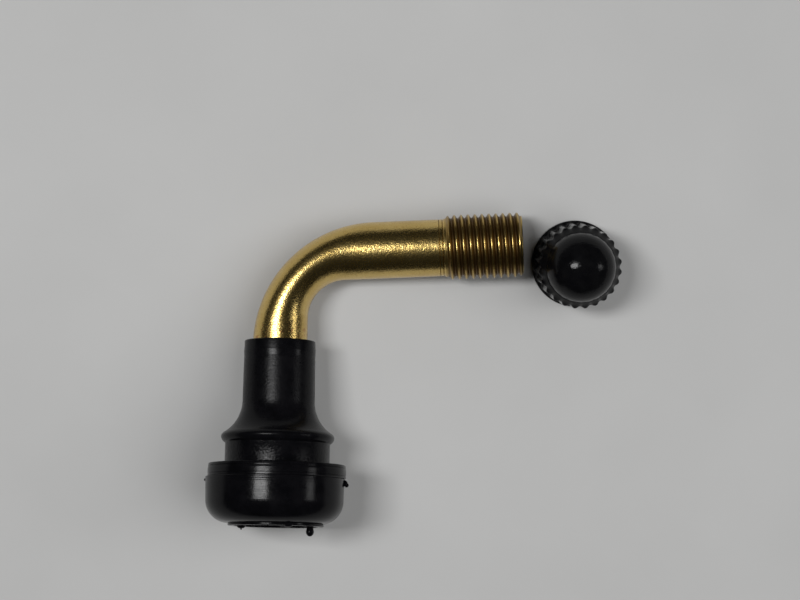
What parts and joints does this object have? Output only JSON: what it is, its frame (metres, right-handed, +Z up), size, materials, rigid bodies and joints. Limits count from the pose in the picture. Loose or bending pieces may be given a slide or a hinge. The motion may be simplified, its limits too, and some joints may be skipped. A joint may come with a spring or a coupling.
{
  "type": "tyre valve",
  "caption": "Right-angle snap-in tubeless tyre valve: rubber base on a bent brass stem with a sprung valve core in its threaded end, and a ribbed dome cap taken off beside it.",
  "frame": {"origin": "on the ground below the middle of the valve and its cap, as the valve lies on its side", "axes": "+X along the arm towards the cap, +Y from the rubber base towards the bend, +Z up"},
  "size_m": [0.047, 0.0371, 0.0162],
  "materials": {
    "black_rubber": "satin moulded",
    "brass": "bright drawn",
    "core_brass": "turned",
    "seal_rubber": "matte moulded",
    "spring_steel": "drawn wire",
    "black_plastic": "gloss moulded"
  },
  "bodies": {
    "valve": {"rubber_base": "black_rubber", "stem": "brass", "core_plug": "core_brass", "core_barrel": "core_brass", "barrel_gasket": "seal_rubber", "core_spring": "spring_steel", "cap": "black_plastic"},
    "plunger": {"valve_pin": "core_brass", "plunger_cup": "core_brass", "plunger_seal": "seal_rubber"}
  },
  "joints": [
    {"name": "pin_push", "type": "slide", "parent": "valve", "child": "plunger", "axis": [-0.9965, -0.067, -0.0494], "range_m": [0, 0.0015], "stiffness_N_per_m": 900, "springref_m": -0.002, "deforming": ["core_spring"]}
  ]
}
